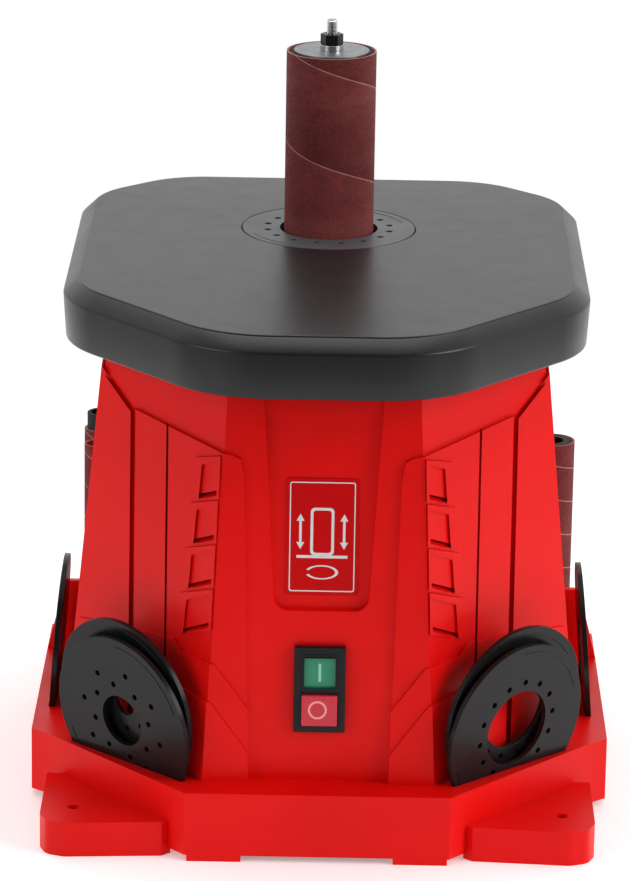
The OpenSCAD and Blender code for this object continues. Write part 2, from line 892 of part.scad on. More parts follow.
module spindle_shaft() {
    tail = 50;
    color(steel) at_spindle() rotate_extrude() polygon([
        [0, tail], [6, tail], [6, shoulder_z - 1], [8, shoulder_z - 1], [8, drum_z - flange_t],
        [arbor_r, drum_z - flange_t], [arbor_r, drum_top - 2], [stud_r, drum_top - 2],
        [stud_r, stud_top - 0.8], [stud_r - 0.8, stud_top], [0, stud_top]
    ]);
}

module spindle_key() {
    color(steel) difference() {
        translate([4, spindle_y - key_w / 2, 60]) cube([3.6, key_w, 22]);
        at_spindle() translate([0, 0, 50]) cylinder(h = 50, r = 6);
    }
}

module spindle_worm() {
    turns = 7;
    pitch = 3.4;
    color(steel) at_spindle() translate([0, 0, worm_z - turns * pitch / 2]) rotate_extrude()
        polygon(concat(
            [[6, 0]],
            [for (k = [0:turns - 1]) each [
                [worm_r - 2, pitch * k], [worm_r, pitch * (k + 0.35)],
                [worm_r, pitch * (k + 0.65)], [worm_r - 2, pitch * (k + 1)]
            ]],
            [[6, turns * pitch]]
        ));
}

module drum_flange() {
    color(steel) at_spindle() translate([0, 0, drum_z - flange_t]) ring(arbor_r, 24, flange_t);
}

module sanding_drum() {
    groove = 0.8;
    color(black) at_spindle() translate([0, 0, drum_z]) rotate_extrude() polygon([
        [arbor_r + run_gap, 0], [sleeve_r - 1, 0], [sleeve_r - 1, sleeve_len - 1 - groove],
        [sleeve_r - 1 - groove, sleeve_len - 1], [arbor_r + run_gap, sleeve_len - 1]
    ]);
}

module sanding_sleeve() {
    color(grit) at_spindle() translate([0, 0, drum_z]) ring(sleeve_r - 1, sleeve_r, sleeve_len);
}

module cap_washer() {
    color([0.6, 0.6, 0.6]) at_spindle() translate([0, 0, drum_top - 1])
        ring(stud_r + 0.1, sleeve_r - 4.2, cap_t);
}

module nut_washer() {
    color(steel) at_spindle() translate([0, 0, drum_top - 1 + cap_t])
        ring(stud_r + 0.1, 6.8, nut_washer_t);
}

module drum_nut() {
    nut_h = 6.2;
    color(black) at_spindle() translate([0, 0, drum_top - 1 + cap_t + nut_washer_t]) difference() {
        cylinder(h = nut_h, r = 6.7, $fn = 6);
        translate([0, 0, -1]) cylinder(h = nut_h + 2, r = stud_r + run_gap);
    }
}

// ---------- Inserts ----------
module vent_ring(radius, count, hole_r, start) {
    for (k = [0:count - 1]) rotate([0, 0, start + 360 / count * k])
        translate([radius, 0, -1]) cylinder(h = 12, r = hole_r, $fn = 24);
}

module rim_arcs(z) {
    for (a = [20, 200]) rotate([0, 0, a]) translate([0, 0, z - 0.2]) rotate_extrude(angle = 70)
        translate([disc_r - 5.2, 0]) square([1.2, 0.5]);
}

module table_insert() {
    color([0.3, 0.31, 0.32]) at_spindle() translate([0, 0, table_h - insert_t]) {
        difference() {
            cylinder(h = insert_t, r = insert_r);
            translate([0, 0, -1]) cylinder(h = insert_t + 2, r = insert_hole / 2);
            vent_ring(36, 16, 2, 11.25);
        }
        rim_arcs(insert_t);
    }
}

// Disc with its face at local z = 0, a centre hole and one or two rings of vent holes.
module stored_disc(hole_r, rings) {
    color(black) {
        difference() {
            translate([0, 0, -disc_t]) cylinder(h = disc_t, r = disc_r);
            translate([0, 0, -disc_t - 1]) cylinder(h = disc_t + 2, r = hole_r);
            for (row = rings)
                translate([0, 0, -disc_t]) vent_ring(row[0], row[1], 1.7, row[2]);
        }
        rim_arcs(0);
    }
}

module disc_left_front() {
    at_front_disc(-1, 0) stored_disc(15, [[22, 8, 10], [30, 8, 32]]);
}

module disc_left_back() {
    at_front_disc(-1, 1) stored_disc(7.5, [[16, 8, 0], [24, 8, 22]]);
}

module disc_right_front() {
    at_front_disc(1, 0) stored_disc(22.5, [[28, 14, 8]]);
}

module disc_right_back() {
    at_front_disc(1, 1) stored_disc(22.5, [[28, 14, 0]]);
}

module disc_left_side() {
    at_side_disc(-1) stored_disc(11, [[18, 8, 12], [26, 8, 34]]);
}

module disc_right_side() {
    at_side_disc(1) stored_disc(19, [[25, 12, 0], [33, 12, 15]]);
}

// ---------- Stored drums ----------
peg_h = 30;
peg_foot = 6;
left_drum_at = [-135, 104];
left_sleeve_at = [-135.5, 72];
right_drum_at = [136.7, 95];
stored_z = base_h + peg_foot;

module storage_pegs() {
    color(red) for (p = [left_drum_at, left_sleeve_at, right_drum_at])
        translate([p[0], p[1], base_h]) {
            cylinder(h = peg_foot, r = 7.5);
            translate([0, 0, peg_foot]) cylinder(h = peg_h, r = 5.6);
        }
}

module stored_at(place) {
    translate([place[0], place[1], stored_z]) children();
}

module drum_left() {
    color(black) stored_at(left_drum_at) ring(6.4, 8.6, sleeve_len + 10);
}

module sleeve_left_rear() {
    color(grit) stored_at(left_drum_at) ring(8.6, 10.3, sleeve_len);
}

module sleeve_left() {
    color(grit) stored_at(left_sleeve_at) ring(6.8, 8, sleeve_len);
}

module drum_right() {
    color(black) stored_at(right_drum_at) ring(6.4, 12.3, sleeve_len);
}

module sleeve_right() {
    color(grit) stored_at(right_drum_at) ring(12.3, 13.3, sleeve_len);
}

// ---------- Switch ----------
bezel_h = 4;
start_size = [18.4, 18.4];
stop_size = [19.8, 17.8];
start_dy = 9.6;
stop_dy = -11.4;

module button_block(size, gap, z0, z1) {
    translate([0, 0, (z0 + z1) / 2]) cube([size[0] + gap, size[1] + gap, z1 - z0], center = true);
}

module switch_frame() {
    color(black) on_front(switch_z) difference() {
        union() {
            button_block(switch_size, 0, 0, bezel_h);
            button_block(switch_size, -3.6, -26, 0);
        }
        translate([0, start_dy, 0]) button_block(start_size, 0.4, -12, 20);
        translate([0, stop_dy, 0]) button_block(stop_size, 0.4, -12, 20);
    }
}

module start_button() {
    color([0.05, 0.5, 0.33]) on_front(switch_z) translate([0, start_dy, 0])
        button_block(start_size, 0, -8, bezel_h - 1);
}

module stop_button() {
    color([0.78, 0.12, 0.16]) on_front(switch_z) translate([0, stop_dy, 0])
        button_block(stop_size, 0, -8, bezel_h + 2.5);
}

base_plinth();
bottom_cover();
base_screws();
storage_pegs();
housing_shell();
rear_cover();
rear_screws();
badge_plate();
table();
table_bolts();
drive_plate();
plate_bolts();
dust_hood();
dust_duct();
dust_port();
cable_gland();
motor_can();
motor_stator();
motor_windings();
motor_bearings();
run_capacitor();
rotor_core();
rotor_shaft();
motor_fan();
drive_pulley();
drive_belt();
driven_pulley();
pulley_collar();
lower_bridge();
bridge_bearing();
guide_rods();
crank_guide();
carriage();
spindle_bearings();
worm_wheel();
crank_arm();
spindle_shaft();
spindle_key();
spindle_worm();
drum_flange();
sanding_drum();
sanding_sleeve();
cap_washer();
nut_washer();
drum_nut();
table_insert();
disc_left_front();
disc_left_back();
disc_right_front();
disc_right_back();
disc_left_side();
disc_right_side();
drum_left();
sleeve_left_rear();
sleeve_left();
drum_right();
sleeve_right();
switch_frame();
start_button();
stop_button();
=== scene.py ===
"""Looks for the benchtop oscillating spindle sander. Metres, +Z up, the operator's side is -Y."""

import json
import math

import bmesh
import bpy
from mathutils import Matrix, Vector

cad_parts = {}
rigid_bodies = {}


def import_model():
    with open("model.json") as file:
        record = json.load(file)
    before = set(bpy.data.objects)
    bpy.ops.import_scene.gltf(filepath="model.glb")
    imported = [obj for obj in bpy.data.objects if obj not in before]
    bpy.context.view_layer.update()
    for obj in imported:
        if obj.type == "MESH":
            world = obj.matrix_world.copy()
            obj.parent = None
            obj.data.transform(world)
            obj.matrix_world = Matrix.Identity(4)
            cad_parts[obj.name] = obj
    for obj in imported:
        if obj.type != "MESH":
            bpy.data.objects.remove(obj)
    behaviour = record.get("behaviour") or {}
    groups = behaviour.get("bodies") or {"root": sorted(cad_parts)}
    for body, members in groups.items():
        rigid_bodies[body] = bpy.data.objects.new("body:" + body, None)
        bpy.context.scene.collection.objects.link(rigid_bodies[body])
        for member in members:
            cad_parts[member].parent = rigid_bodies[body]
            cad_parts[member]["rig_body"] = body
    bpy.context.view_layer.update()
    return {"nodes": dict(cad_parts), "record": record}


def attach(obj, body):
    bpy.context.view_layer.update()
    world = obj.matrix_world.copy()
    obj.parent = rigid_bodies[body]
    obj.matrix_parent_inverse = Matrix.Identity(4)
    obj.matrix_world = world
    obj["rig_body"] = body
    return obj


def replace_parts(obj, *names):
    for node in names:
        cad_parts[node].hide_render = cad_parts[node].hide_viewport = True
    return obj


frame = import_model()

MM = 0.001
NODES = frame["nodes"]
SLOTS = {entry["node"]: entry["material_slot"] for entry in frame["record"]["subparts"]}
MATERIALS = {}


# ---------- Materials ----------

class Shader:
    """A small builder of node materials on one Principled shader, in object coordinates."""

    def __init__(self, name, color, rough, metal=0.0, coat=0.0, specular=0.5):
        self.material = bpy.data.materials.new(name)
        self.material.use_nodes = True
        self.tree = self.material.node_tree
        self.shader = self.tree.nodes["Principled BSDF"]
        self.coords = self.tree.nodes.new("ShaderNodeTexCoord").outputs["Object"]
        self.color = self.rgb(color)
        self.shader.inputs["Roughness"].default_value = rough
        self.shader.inputs["Metallic"].default_value = metal
        self.shader.inputs["Coat Weight"].default_value = coat
        self.shader.inputs["Coat Roughness"].default_value = 0.25
        self.shader.inputs["Specular IOR Level"].default_value = specular
        self.height = None
        MATERIALS[name] = self

    def rgb(self, color):
        node = self.tree.nodes.new("ShaderNodeRGB")
        node.outputs[0].default_value = (*color, 1)
        return node.outputs[0]

    def link(self, source, target):
        self.tree.links.new(source, target)

    def noise(self, scale, detail=4.0, rough=0.6, stretch=(1, 1, 1)):
        mapping = self.tree.nodes.new("ShaderNodeMapping")
        mapping.inputs["Scale"].default_value = stretch
        self.link(self.coords, mapping.inputs["Vector"])
        node = self.tree.nodes.new("ShaderNodeTexNoise")
        node.inputs["Scale"].default_value = scale
        node.inputs["Detail"].default_value = detail
        node.inputs["Roughness"].default_value = rough
        self.link(mapping.outputs[0], node.inputs["Vector"])
        return node.outputs["Fac"]

    def cells(self, scale):
        node = self.tree.nodes.new("ShaderNodeTexVoronoi")
        node.inputs["Scale"].default_value = scale
        self.link(self.coords, node.inputs["Vector"])
        return node

    def ramp(self, value, low, high, to_low=0.0, to_high=1.0):
        node = self.tree.nodes.new("ShaderNodeMapRange")
        node.inputs["From Min"].default_value = low
        node.inputs["From Max"].default_value = high
        node.inputs["To Min"].default_value = to_low
        node.inputs["To Max"].default_value = to_high
        self.link(value, node.inputs["Value"])
        return node.outputs[0]

    def mix_color(self, factor, other):
        """Mixes the running colour towards other by factor."""
        node = self.tree.nodes.new("ShaderNodeMix")
        node.data_type = "RGBA"
        self.link(factor, node.inputs["Factor"])
        self.link(self.color, node.inputs["A"])
        self.link(other, node.inputs["B"])
        self.color = node.outputs["Result"]

    def rough(self, value):
        self.link(value, self.shader.inputs["Roughness"])

    def bump(self, value, distance, strength=1.0):
        node = self.tree.nodes.new("ShaderNodeBump")
        node.inputs["Strength"].default_value = strength
        node.inputs["Distance"].default_value = distance
        self.link(value, node.inputs["Height"])
        if self.height:
            self.link(self.height, node.inputs["Normal"])
        self.height = node.outputs["Normal"]

    def done(self):
        self.link(self.color, self.shader.inputs["Base Color"])
        if self.height:
            self.link(self.height, self.shader.inputs["Normal"])
        return self.material


def moulded(name, color, dark, rough, grain=1500, depth=0.00006, coat=0.0, specular=0.5):
    """Moulded plastic: faint tone drift, a fine spark-eroded grain and uneven gloss."""
    m = Shader(name, color, rough, coat=coat, specular=specular)
    m.mix_color(m.ramp(m.noise(9, 3), 0.35, 0.7), m.rgb(dark))
    m.mix_color(m.ramp(m.noise(grain, 2), 0.55, 0.8, 0, 0.10), m.rgb(dark))
    m.rough(m.ramp(m.noise(35, 5), 0.3, 0.7, rough - 0.05, rough + 0.07))
    m.bump(m.noise(grain, 3), depth, 0.55)
    m.bump(m.noise(18, 2), 0.0004, 0.12)
    return m.done()


def painted(name, color, light, rough, depth=0.0001, specular=0.5):
    """Powder-coated metal: orange peel, fine speckle and faint scuffs."""
    m = Shader(name, color, rough, specular=specular)
    m.mix_color(m.ramp(m.noise(900, 2), 0.5, 0.85, 0, 0.35), m.rgb(light))
    m.mix_color(m.ramp(m.noise(14, 6, 0.7, (1, 6, 1)), 0.56, 0.78, 0, 0.10), m.rgb(light))
    m.rough(m.ramp(m.noise(60, 6), 0.3, 0.7, rough - 0.02, rough + 0.03))
    m.bump(m.noise(1300, 2), depth, 0.5)
    m.bump(m.noise(220, 2), 0.00006, 0.2)
    return m.done()


def metal(name, color, rough, stretch=(1, 1, 40), scale=60, depth=0.00002):
    """Bare metal with fine tool lines along one way and a little staining."""
    m = Shader(name, color, rough, metal=1.0)
    dark = m.rgb([0.55 * c for c in color])
    m.mix_color(m.ramp(m.noise(scale, 4, 0.7, stretch), 0.45, 0.75, 0, 0.3), dark)
    m.mix_color(m.ramp(m.noise(45, 5), 0.55, 0.8, 0, 0.25), dark)
    m.rough(m.ramp(m.noise(scale * 2, 3, 0.6, stretch), 0.3, 0.7, rough - 0.08, rough + 0.12))
    m.bump(m.noise(scale * 4, 2, 0.6, stretch), depth, 0.6)
    return m.done()


def abrasive(name, color, dark, light):
    """Abrasive cloth: packed grains of two tones with small glints between them."""
    m = Shader(name, color, 0.82, specular=0.3)
    m.shader.inputs["Sheen Weight"].default_value = 0.06
    m.shader.inputs["Sheen Roughness"].default_value = 0.5
    m.shader.inputs["Sheen Tint"].default_value = (1, 0.55, 0.5, 1)
    m.mix_color(m.ramp(m.noise(130, 5, 0.7), 0.42, 0.66, 0, 0.45), m.rgb(dark))
    grains = m.cells(2300)
    m.mix_color(m.ramp(grains.outputs["Distance"], 0.25, 0.6, 0, 0.75), m.rgb(dark))
    m.mix_color(m.ramp(m.noise(420, 3), 0.46, 0.68, 0, 0.4), m.rgb(dark))
    m.mix_color(m.ramp(m.noise(1700, 2), 0.62, 0.74, 0, 0.7), m.rgb(light))
    m.mix_color(m.ramp(m.noise(7, 4, 0.7, (1, 1, 4)), 0.5, 0.8, 0, 0.3), m.rgb(light))
    m.rough(m.ramp(m.noise(900, 2), 0.3, 0.7, 0.62, 0.95))
    m.bump(grains.outputs["Distance"], 0.00035, 0.6)
    m.bump(m.noise(1500, 3), 0.0003, 0.6)
    return m.done()


def rubber(name, color, light, rough=0.7):
    """Matt rubber with a light bloom and a fine pebble."""
    m = Shader(name, color, rough, specular=0.35)
    m.mix_color(m.ramp(m.noise(40, 6), 0.5, 0.8, 0, 0.4), m.rgb(light))
    m.mix_color(m.ramp(m.noise(1200, 2), 0.6, 0.8, 0, 0.25), m.rgb(light))
    m.rough(m.ramp(m.noise(80, 4), 0.3, 0.7, rough - 0.1, rough + 0.15))
    m.bump(m.noise(1100, 3), 0.00012, 0.5)
    return m.done()


moulded("red_plastic", (0.82, 0.004, 0.003), (0.72, 0.003, 0.002), 0.36, specular=0.16)
moulded(
    "badge_film", (0.60, 0.003, 0.004), (0.54, 0.003, 0.004), 0.30,
    grain=3000, depth=0.00002, specular=0.10,
)
moulded("badge_mark", (0.80, 0.79, 0.77), (0.70, 0.69, 0.67), 0.35, grain=3000, depth=0.00002)
moulded("black_plastic", (0.006, 0.006, 0.007), (0.010, 0.010, 0.011), 0.30, specular=0.25)
moulded("disc_plastic", (0.007, 0.007, 0.0075), (0.012, 0.012, 0.0125), 0.25, depth=0.00003, specular=0.2)
moulded("insert_plastic", (0.075, 0.076, 0.082), (0.06, 0.061, 0.066), 0.42)
moulded("green_plastic", (0.014, 0.28, 0.14), (0.012, 0.22, 0.11), 0.28, coat=0.1)
moulded("stop_plastic", (0.62, 0.014, 0.035), (0.52, 0.012, 0.030), 0.28, coat=0.1)
moulded("start_ink", (0.30, 0.66, 0.54), (0.26, 0.58, 0.47), 0.35)
moulded("stop_ink", (0.95, 0.36, 0.35), (0.85, 0.31, 0.30), 0.35)
moulded("white_shell", (0.80, 0.80, 0.77), (0.74, 0.74, 0.71), 0.35)
painted("dark_paint", (0.008, 0.008, 0.0085), (0.015, 0.015, 0.016), 0.33, specular=0.40)
painted("motor_paint", (0.030, 0.033, 0.036), (0.06, 0.063, 0.066), 0.45)
painted("cast_alloy", (0.42, 0.43, 0.45), (0.52, 0.53, 0.55), 0.5, depth=0.0003)
metal("zinc_steel", (0.66, 0.67, 0.68), 0.34)
metal("ground_steel", (0.62, 0.63, 0.65), 0.22)
metal("satin_steel", (0.27, 0.28, 0.29), 0.42, (1, 1, 1), 120)
metal("lamination", (0.36, 0.37, 0.39), 0.45, (1, 1, 60), 90)
metal("copper_wire", (0.72, 0.34, 0.16), 0.35, (1, 1, 30), 120)
metal("bronze", (0.62, 0.42, 0.16), 0.32, (40, 1, 1), 60)
rubber("belt_rubber", (0.012, 0.012, 0.012), (0.03, 0.03, 0.03))
rubber("drum_rubber", (0.016, 0.016, 0.017), (0.04, 0.04, 0.04))
abrasive("abrasive", (0.27, 0.032, 0.032), (0.085, 0.013, 0.014), (0.38, 0.10, 0.09))
abrasive("seam", (0.56, 0.27, 0.23), (0.34, 0.13, 0.11), (0.70, 0.42, 0.36))


# ---------- Mesh helpers ----------

def new_object(name, mesh, slot_name, body):
    piece = bpy.data.objects.new(name, mesh)
    bpy.context.scene.collection.objects.link(piece)
    if not mesh.materials:
        mesh.materials.append(MATERIALS[slot_name].material)
    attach(piece, body)
    return piece


def mesh_of(name, verts, faces):
    mesh = bpy.data.meshes.new(name)
    mesh.from_pydata(verts, [], faces)
    mesh.update()
    return mesh


def round_edges(piece, width):
    """Rounds the sharp edges with real bevels and shades the rest smoothly."""
    piece.data.shade_smooth()
    bevel = piece.modifiers.new("edge", "BEVEL")
    bevel.width = width
    bevel.segments = 2
    bevel.limit_method = "ANGLE"
    bevel.angle_limit = math.radians(28)
    bevel.use_clamp_overlap = True
    bevel.harden_normals = True
    bevel.miter_outer = "MITER_ARC"


def loft(rings, closed=True):
    """Faces between rings of equally many points; a closed loft joins the last ring to the first."""
    count = len(rings[0])
    verts = [point for ring in rings for point in ring]
    faces = []
    for r in range(len(rings) if closed else len(rings) - 1):
        a, b = r * count, (r + 1) % len(rings) * count
        for i in range(count):
            j = (i + 1) % count
            faces.append((a + i, a + j, b + j, b + i))
    return verts, faces


def capped(rings):
    """An open loft closed at both ends."""
    count = len(rings[0])
    verts, faces = loft(rings, closed=False)
    faces.append(tuple(reversed(range(count))))
    faces.append(tuple(range(len(verts) - count, len(verts))))
    return verts, faces


def circle(radius, count, z=0.0, centre=(0, 0)):
    return [
        (
            centre[0] + radius * math.cos(2 * math.pi * i / count),
            centre[1] + radius * math.sin(2 * math.pi * i / count),
            z,
        )
        for i in range(count)
    ]


def shade(mesh, angle=32):
    mesh.shade_smooth()
    mesh.set_sharp_from_angle(angle=math.radians(angle))


def join(name, parts):
    """One mesh from several (verts, faces) lists."""
    verts, faces = [], []
    for part_verts, part_faces in parts:
        base = len(verts)
        verts += [tuple(v) for v in part_verts]
        faces += [tuple(base + i for i in face) for face in part_faces]
    return mesh_of(name, verts, faces)


def fix_normals(mesh, merge=0.0):
    """Turns every face outward, after merging points closer than merge."""
    bm = bmesh.new()
    bm.from_mesh(mesh)
    if merge:
        bmesh.ops.remove_doubles(bm, verts=bm.verts, dist=merge)
    bmesh.ops.recalc_face_normals(bm, faces=bm.faces)
    bm.to_mesh(mesh)
    bm.free()


# ---------- Pieces that keep their CAD shape ----------

# Nodes whose look differs from their slot's.
LOOKS = {"cap_washer": "satin_steel", "nut_washer": "ground_steel", "rear_screws": "satin_steel"}

# Nodes whose faces have many slits, which would shade badly merged into single polygons.
SLOTTED = ("housing_shell", "rear_cover")

# Nodes whose broad faces have to shade flat up to their rounded edges.
FLAT_FACED = ("housing_shell", "base_plinth", "rear_cover")

# Nodes that get rounded edges, with the width in mm.
EDGES = {
    "base_plinth": 0.9, "housing_shell": 0.7, "rear_cover": 0.6, "storage_pegs": 0.6,
    "table_insert": 0.4, "dust_port": 0.5, "cable_gland": 0.5, "switch_frame": 0.6,
    "start_button": 0.5, "stop_button": 0.6, "disc_left_front": 0.5, "disc_left_back": 0.5,
    "disc_right_front": 0.5, "disc_right_back": 0.5, "disc_left_side": 0.5, "disc_right_side": 0.5,
    "drum_flange": 0.4, "sanding_drum": 0.4, "cap_washer": 0.25, "nut_washer": 0.2,
    "drum_nut": 0.5, "drum_left": 0.3, "drum_right": 0.3, "rear_screws": 0.3,
    "base_screws": 0.3, "bottom_cover": 0.2,
}


def refined(node, width):
    """A bevelled copy of a CAD node, riding on its body and standing for it."""
    source = NODES[node]
    mesh = source.data.copy()
    mesh.materials.clear()
    mesh.materials.append(MATERIALS[LOOKS.get(node, SLOTS[node])].material)
    bm = bmesh.new()
    bm.from_mesh(mesh)
    bmesh.ops.remove_doubles(bm, verts=bm.verts, dist=2e-6)
    if node not in SLOTTED:
        bmesh.ops.dissolve_limit(
            bm, angle_limit=math.radians(0.6), verts=bm.verts, edges=bm.edges, delimit=set()
        )
    bm.to_mesh(mesh)
    bm.free()
    if mesh.has_custom_normals:
        mesh.attributes.remove(mesh.attributes["custom_normal"])
    piece = new_object(node + "_look", mesh, SLOTS[node], source["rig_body"])
    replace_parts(piece, node)
    round_edges(piece, width)
    if node in FLAT_FACED:
        flat = piece.modifiers.new("flat", "WEIGHTED_NORMAL")
        flat.weight = 100


for name, source in NODES.items():
    source.data.materials.clear()
    source.data.materials.append(MATERIALS[SLOTS[name]].material)

for name, width in EDGES.items():
    refined(name, width * MM)


# ---------- Table ----------

TABLE_W, TABLE_D, TABLE_TOP, TABLE_UNDER = 295, 370, 300, 266
SPINDLE_Y = 57


def edge_normal(a, b):
    d = (b - a).normalized()
    return Vector((d.y, -d.x))


def corner_mitre(points, i):
    m = edge_normal(points[i - 1], points[i])
    n = edge_normal(points[i], points[(i + 1) % len(points)])
    return (m + n) / (1 + m.dot(n)), m, n


def rounded_outline(points, radii, inset, steps=20):
    """The outline moved inward by inset, with its corners rounded; the points run anticlockwise."""
    result = []
    for i, radius in enumerate(radii):
        mitre, m, n = corner_mitre(points, i)
        centre = points[i] - mitre * radius
        start = math.atan2(m.y, m.x)
        turn = math.acos(min(1.0, m.dot(n)))
        for k in range(steps + 1):
            a = start + turn * k / steps
            result.append(centre + (radius - inset) * Vector((math.cos(a), math.sin(a))))
    return spread(result, 24)


def spread(points, parts):
    """The same closed outline with its long straight stretches cut into equal parts."""
    result = []
    for i, a in enumerate(points):
        b = points[(i + 1) % len(points)]
        cuts = parts if (b - a).length > 15 else 1
        result += [a.lerp(b, k / cuts) for k in range(cuts)]
    return result


def table_points():
    half = [(61.5, -185), (147.5, -84), (147.5, 135), (97.5, 185)]
    return [Vector(p) for p in half + [(-x, y) for x, y in reversed(half)]]


def table_section():
    """The table's section as (kind, size, height): inset from the outline, or radius round the spindle."""
    edge_w, edge_h, draft, lip = 8.5, 8, 1.5, 1.4
    slope = edge_h / edge_w
    low = TABLE_TOP - edge_h
    section = [("hole", 50.8, 296), ("hole", 50.8, 299.5), ("hole", 51.3, 300), ("hole", 58, 300)]
    section += [
        ("rim", edge_w + 1.1, TABLE_TOP), ("rim", edge_w + 0.5, TABLE_TOP - 0.03),
        ("rim", edge_w, TABLE_TOP - 0.14), ("rim", edge_w - 0.5, low + (edge_w - 0.9) * slope),
        ("rim", edge_w - 1.1, low + (edge_w - 1.1) * slope), ("rim", 1.0, low + slope),
        ("rim", 0.55, low + 0.45 * slope), ("rim", 0.22, low - 0.05), ("rim", 0.08, low - 0.5),
        ("rim", 0.06, low - 1), ("rim", draft * 0.5, 279), ("rim", draft, TABLE_UNDER + lip),
    ]
    section += [
        ("rim", draft + lip * (1 - math.cos(a)), TABLE_UNDER + lip * (1 - math.sin(a)))
        for a in (math.pi / 6, math.pi / 3, math.pi / 2)
    ]
    section += [
        ("rim", 8, TABLE_UNDER), ("rim", 9, TABLE_UNDER + 1), ("rim", 9, 287), ("rim", 10, 288),
        ("hole", 61, 288), ("hole", 60, 287), ("hole", 60, 267), ("hole", 59, TABLE_UNDER),
        ("hole", 46, TABLE_UNDER), ("hole", 45, 267), ("hole", 45, 296),
    ]
    return section


def build_table():
    points = table_points()
    radii = [70, 70, 60, 60, 60, 60, 70, 70]
    outline = rounded_outline(points, radii, 0)
    centre = Vector((0, SPINDLE_Y))
    rings = []
    for kind, size, z in table_section():
        if kind == "rim":
            flat = rounded_outline(points, radii, size)
        else:
            flat = [centre + (p - centre).normalized() * size for p in outline]
        rings.append([(p.x * MM, p.y * MM, z * MM) for p in flat])
    parts = [loft(rings)]
    for x in (-60, 60):
        for y in (-80, 120):
            boss = [
                circle(r * MM, 32, z * MM, (x * MM, y * MM))
                for r, z in ((10, 288.5), (10, 267), (9.2, 266.2), (4.2, 266.2), (4.2, 288.5))
            ]
            parts.append(loft(boss))
    mesh = join("table_look", parts)
    piece = new_object("table_look", mesh, "dark_paint", "frame")
    fix_normals(mesh)
    shade(mesh)
    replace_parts(piece, "table")


build_table()


# ---------- Abrasive sleeves ----------

DRUM_Z, STORED_Z, SLEEVE_LEN = 290.4, 46, 115


def spiral_sleeve(name, node, place, z0, radii, pitch, seam_front):
    """A tube of abrasive cloth wound in a spiral, its seam a shallow groove that shows paler backing.

    seam_front is how far below the top edge the seam crosses the front."""
    inner, outer = radii
    columns, sunk, seam_w = 96, 0.16, 0.36
    top = z0 + SLEEVE_LEN
    seams = range(-1, math.ceil(SLEEVE_LEN / pitch) + 2)
    count = 4 + 3 * len(seams)
    verts, faces, backing = [], [], []
    for i in range(columns + 1):
        a = -math.pi / 2 + 2 * math.pi * i / columns
        section = [(inner, z0), (inner, top), (outer, top)]
        for k in seams:
            middle = top - seam_front - pitch * (i / columns + k)
            for z, depth in ((middle + seam_w, 0), (middle, sunk), (middle - seam_w, 0)):
                kept = min(top, max(z0, z))
                section.append((outer - (depth if kept == z else 0), kept))
        section.append((outer, z0))
        verts += [
            ((place[0] + r * math.cos(a)) * MM, (place[1] + r * math.sin(a)) * MM, z * MM)
            for r, z in section
        ]
    for i in range(columns):
        for j in range(count):
            a, b = i * count + j, i * count + (j + 1) % count
            on_cloth = 2 <= j < count - 1 and j % 3 == 2
            backing.append(0 if on_cloth else 1)
            faces.append((a, a + count, b + count, b))
    mesh = mesh_of(name, verts, faces)
    for key in ("abrasive", "seam"):
        mesh.materials.append(MATERIALS[key].material)
    for polygon, index in zip(mesh.polygons, backing):
        polygon.material_index = index
    fix_normals(mesh, merge=1e-6)
    shade(mesh, 40)
    piece = new_object(name, mesh, "abrasive", NODES[node]["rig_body"])
    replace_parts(piece, node)


spiral_sleeve("drum_sleeve", "sanding_sleeve", (0, SPINDLE_Y), DRUM_Z, (25, 26), 56, 8.3)
spiral_sleeve("rear_left_sleeve", "sleeve_left_rear", (-135, 104), STORED_Z, (8.6, 10.3), 24, 6)
spiral_sleeve("front_left_sleeve", "sleeve_left", (-135.5, 72), STORED_Z, (6.8, 8), 20, 9)
spiral_sleeve("right_sleeve", "sleeve_right", (136.7, 95), STORED_Z, (12.3, 13.3), 21, 12)


# ---------- Spindle and its threaded stud ----------

def lathe(profile, count, centre):
    """Faces of a profile of (radius, height) turned round a vertical axis, closed at both ends."""
    rings = [circle(r * MM, count, z * MM, (centre[0] * MM, centre[1] * MM)) for r, z in profile]
    return capped(rings)


def thread(radius, depth, pitch, z0, z1, centre, per_turn=24):
    """A closed helical ridge that stands depth out of a core."""
    root = radius - depth
    section = [
        (root - 0.1, -0.45), (root, -0.42), (radius, -0.1),
        (radius, 0.1), (root, 0.42), (root - 0.1, 0.45),
    ]
    rings = []
    for i in range(int((z1 - z0) / pitch * per_turn) + 1):
        a = 2 * math.pi * i / per_turn
        z = z0 + pitch * i / per_turn
        rings.append([
            (
                (centre[0] + r * math.cos(a)) * MM,
                (centre[1] + r * math.sin(a)) * MM,
                (z + share * pitch) * MM,
            )
            for r, share in section
        ])
    return capped(rings)


def build_spindle():
    centre = (0, SPINDLE_Y)
    stud, core, pitch = 3.2, 2.65, 1.25
    drum_top, stud_top = 405.4, 424
    profile = [
        (5.4, 50), (6, 50.6), (6, 201), (8, 201.4), (8, DRUM_Z - 3.5), (6.35, DRUM_Z - 3.5),
        (6.35, drum_top - 2), (core, drum_top - 2), (core, stud_top - 0.8), (core - 0.6, stud_top - 0.1),
        (core - 1.5, stud_top),
    ]
    parts = [
        lathe(profile, 64, centre),
        thread(stud, stud - core, pitch, drum_top, stud_top - 1.2, centre),
    ]
    mesh = join("spindle_shaft_look", parts)
    fix_normals(mesh)
    shade(mesh, 35)
    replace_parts(new_object("spindle_shaft_look", mesh, "ground_steel", "spindle"), "spindle_shaft")


build_spindle()


# ---------- Marks on the front ----------

BODY_FRONT, BODY_Z, BODY_LEAN, BODY_RISE = -161, 40.5, 15, 225.5


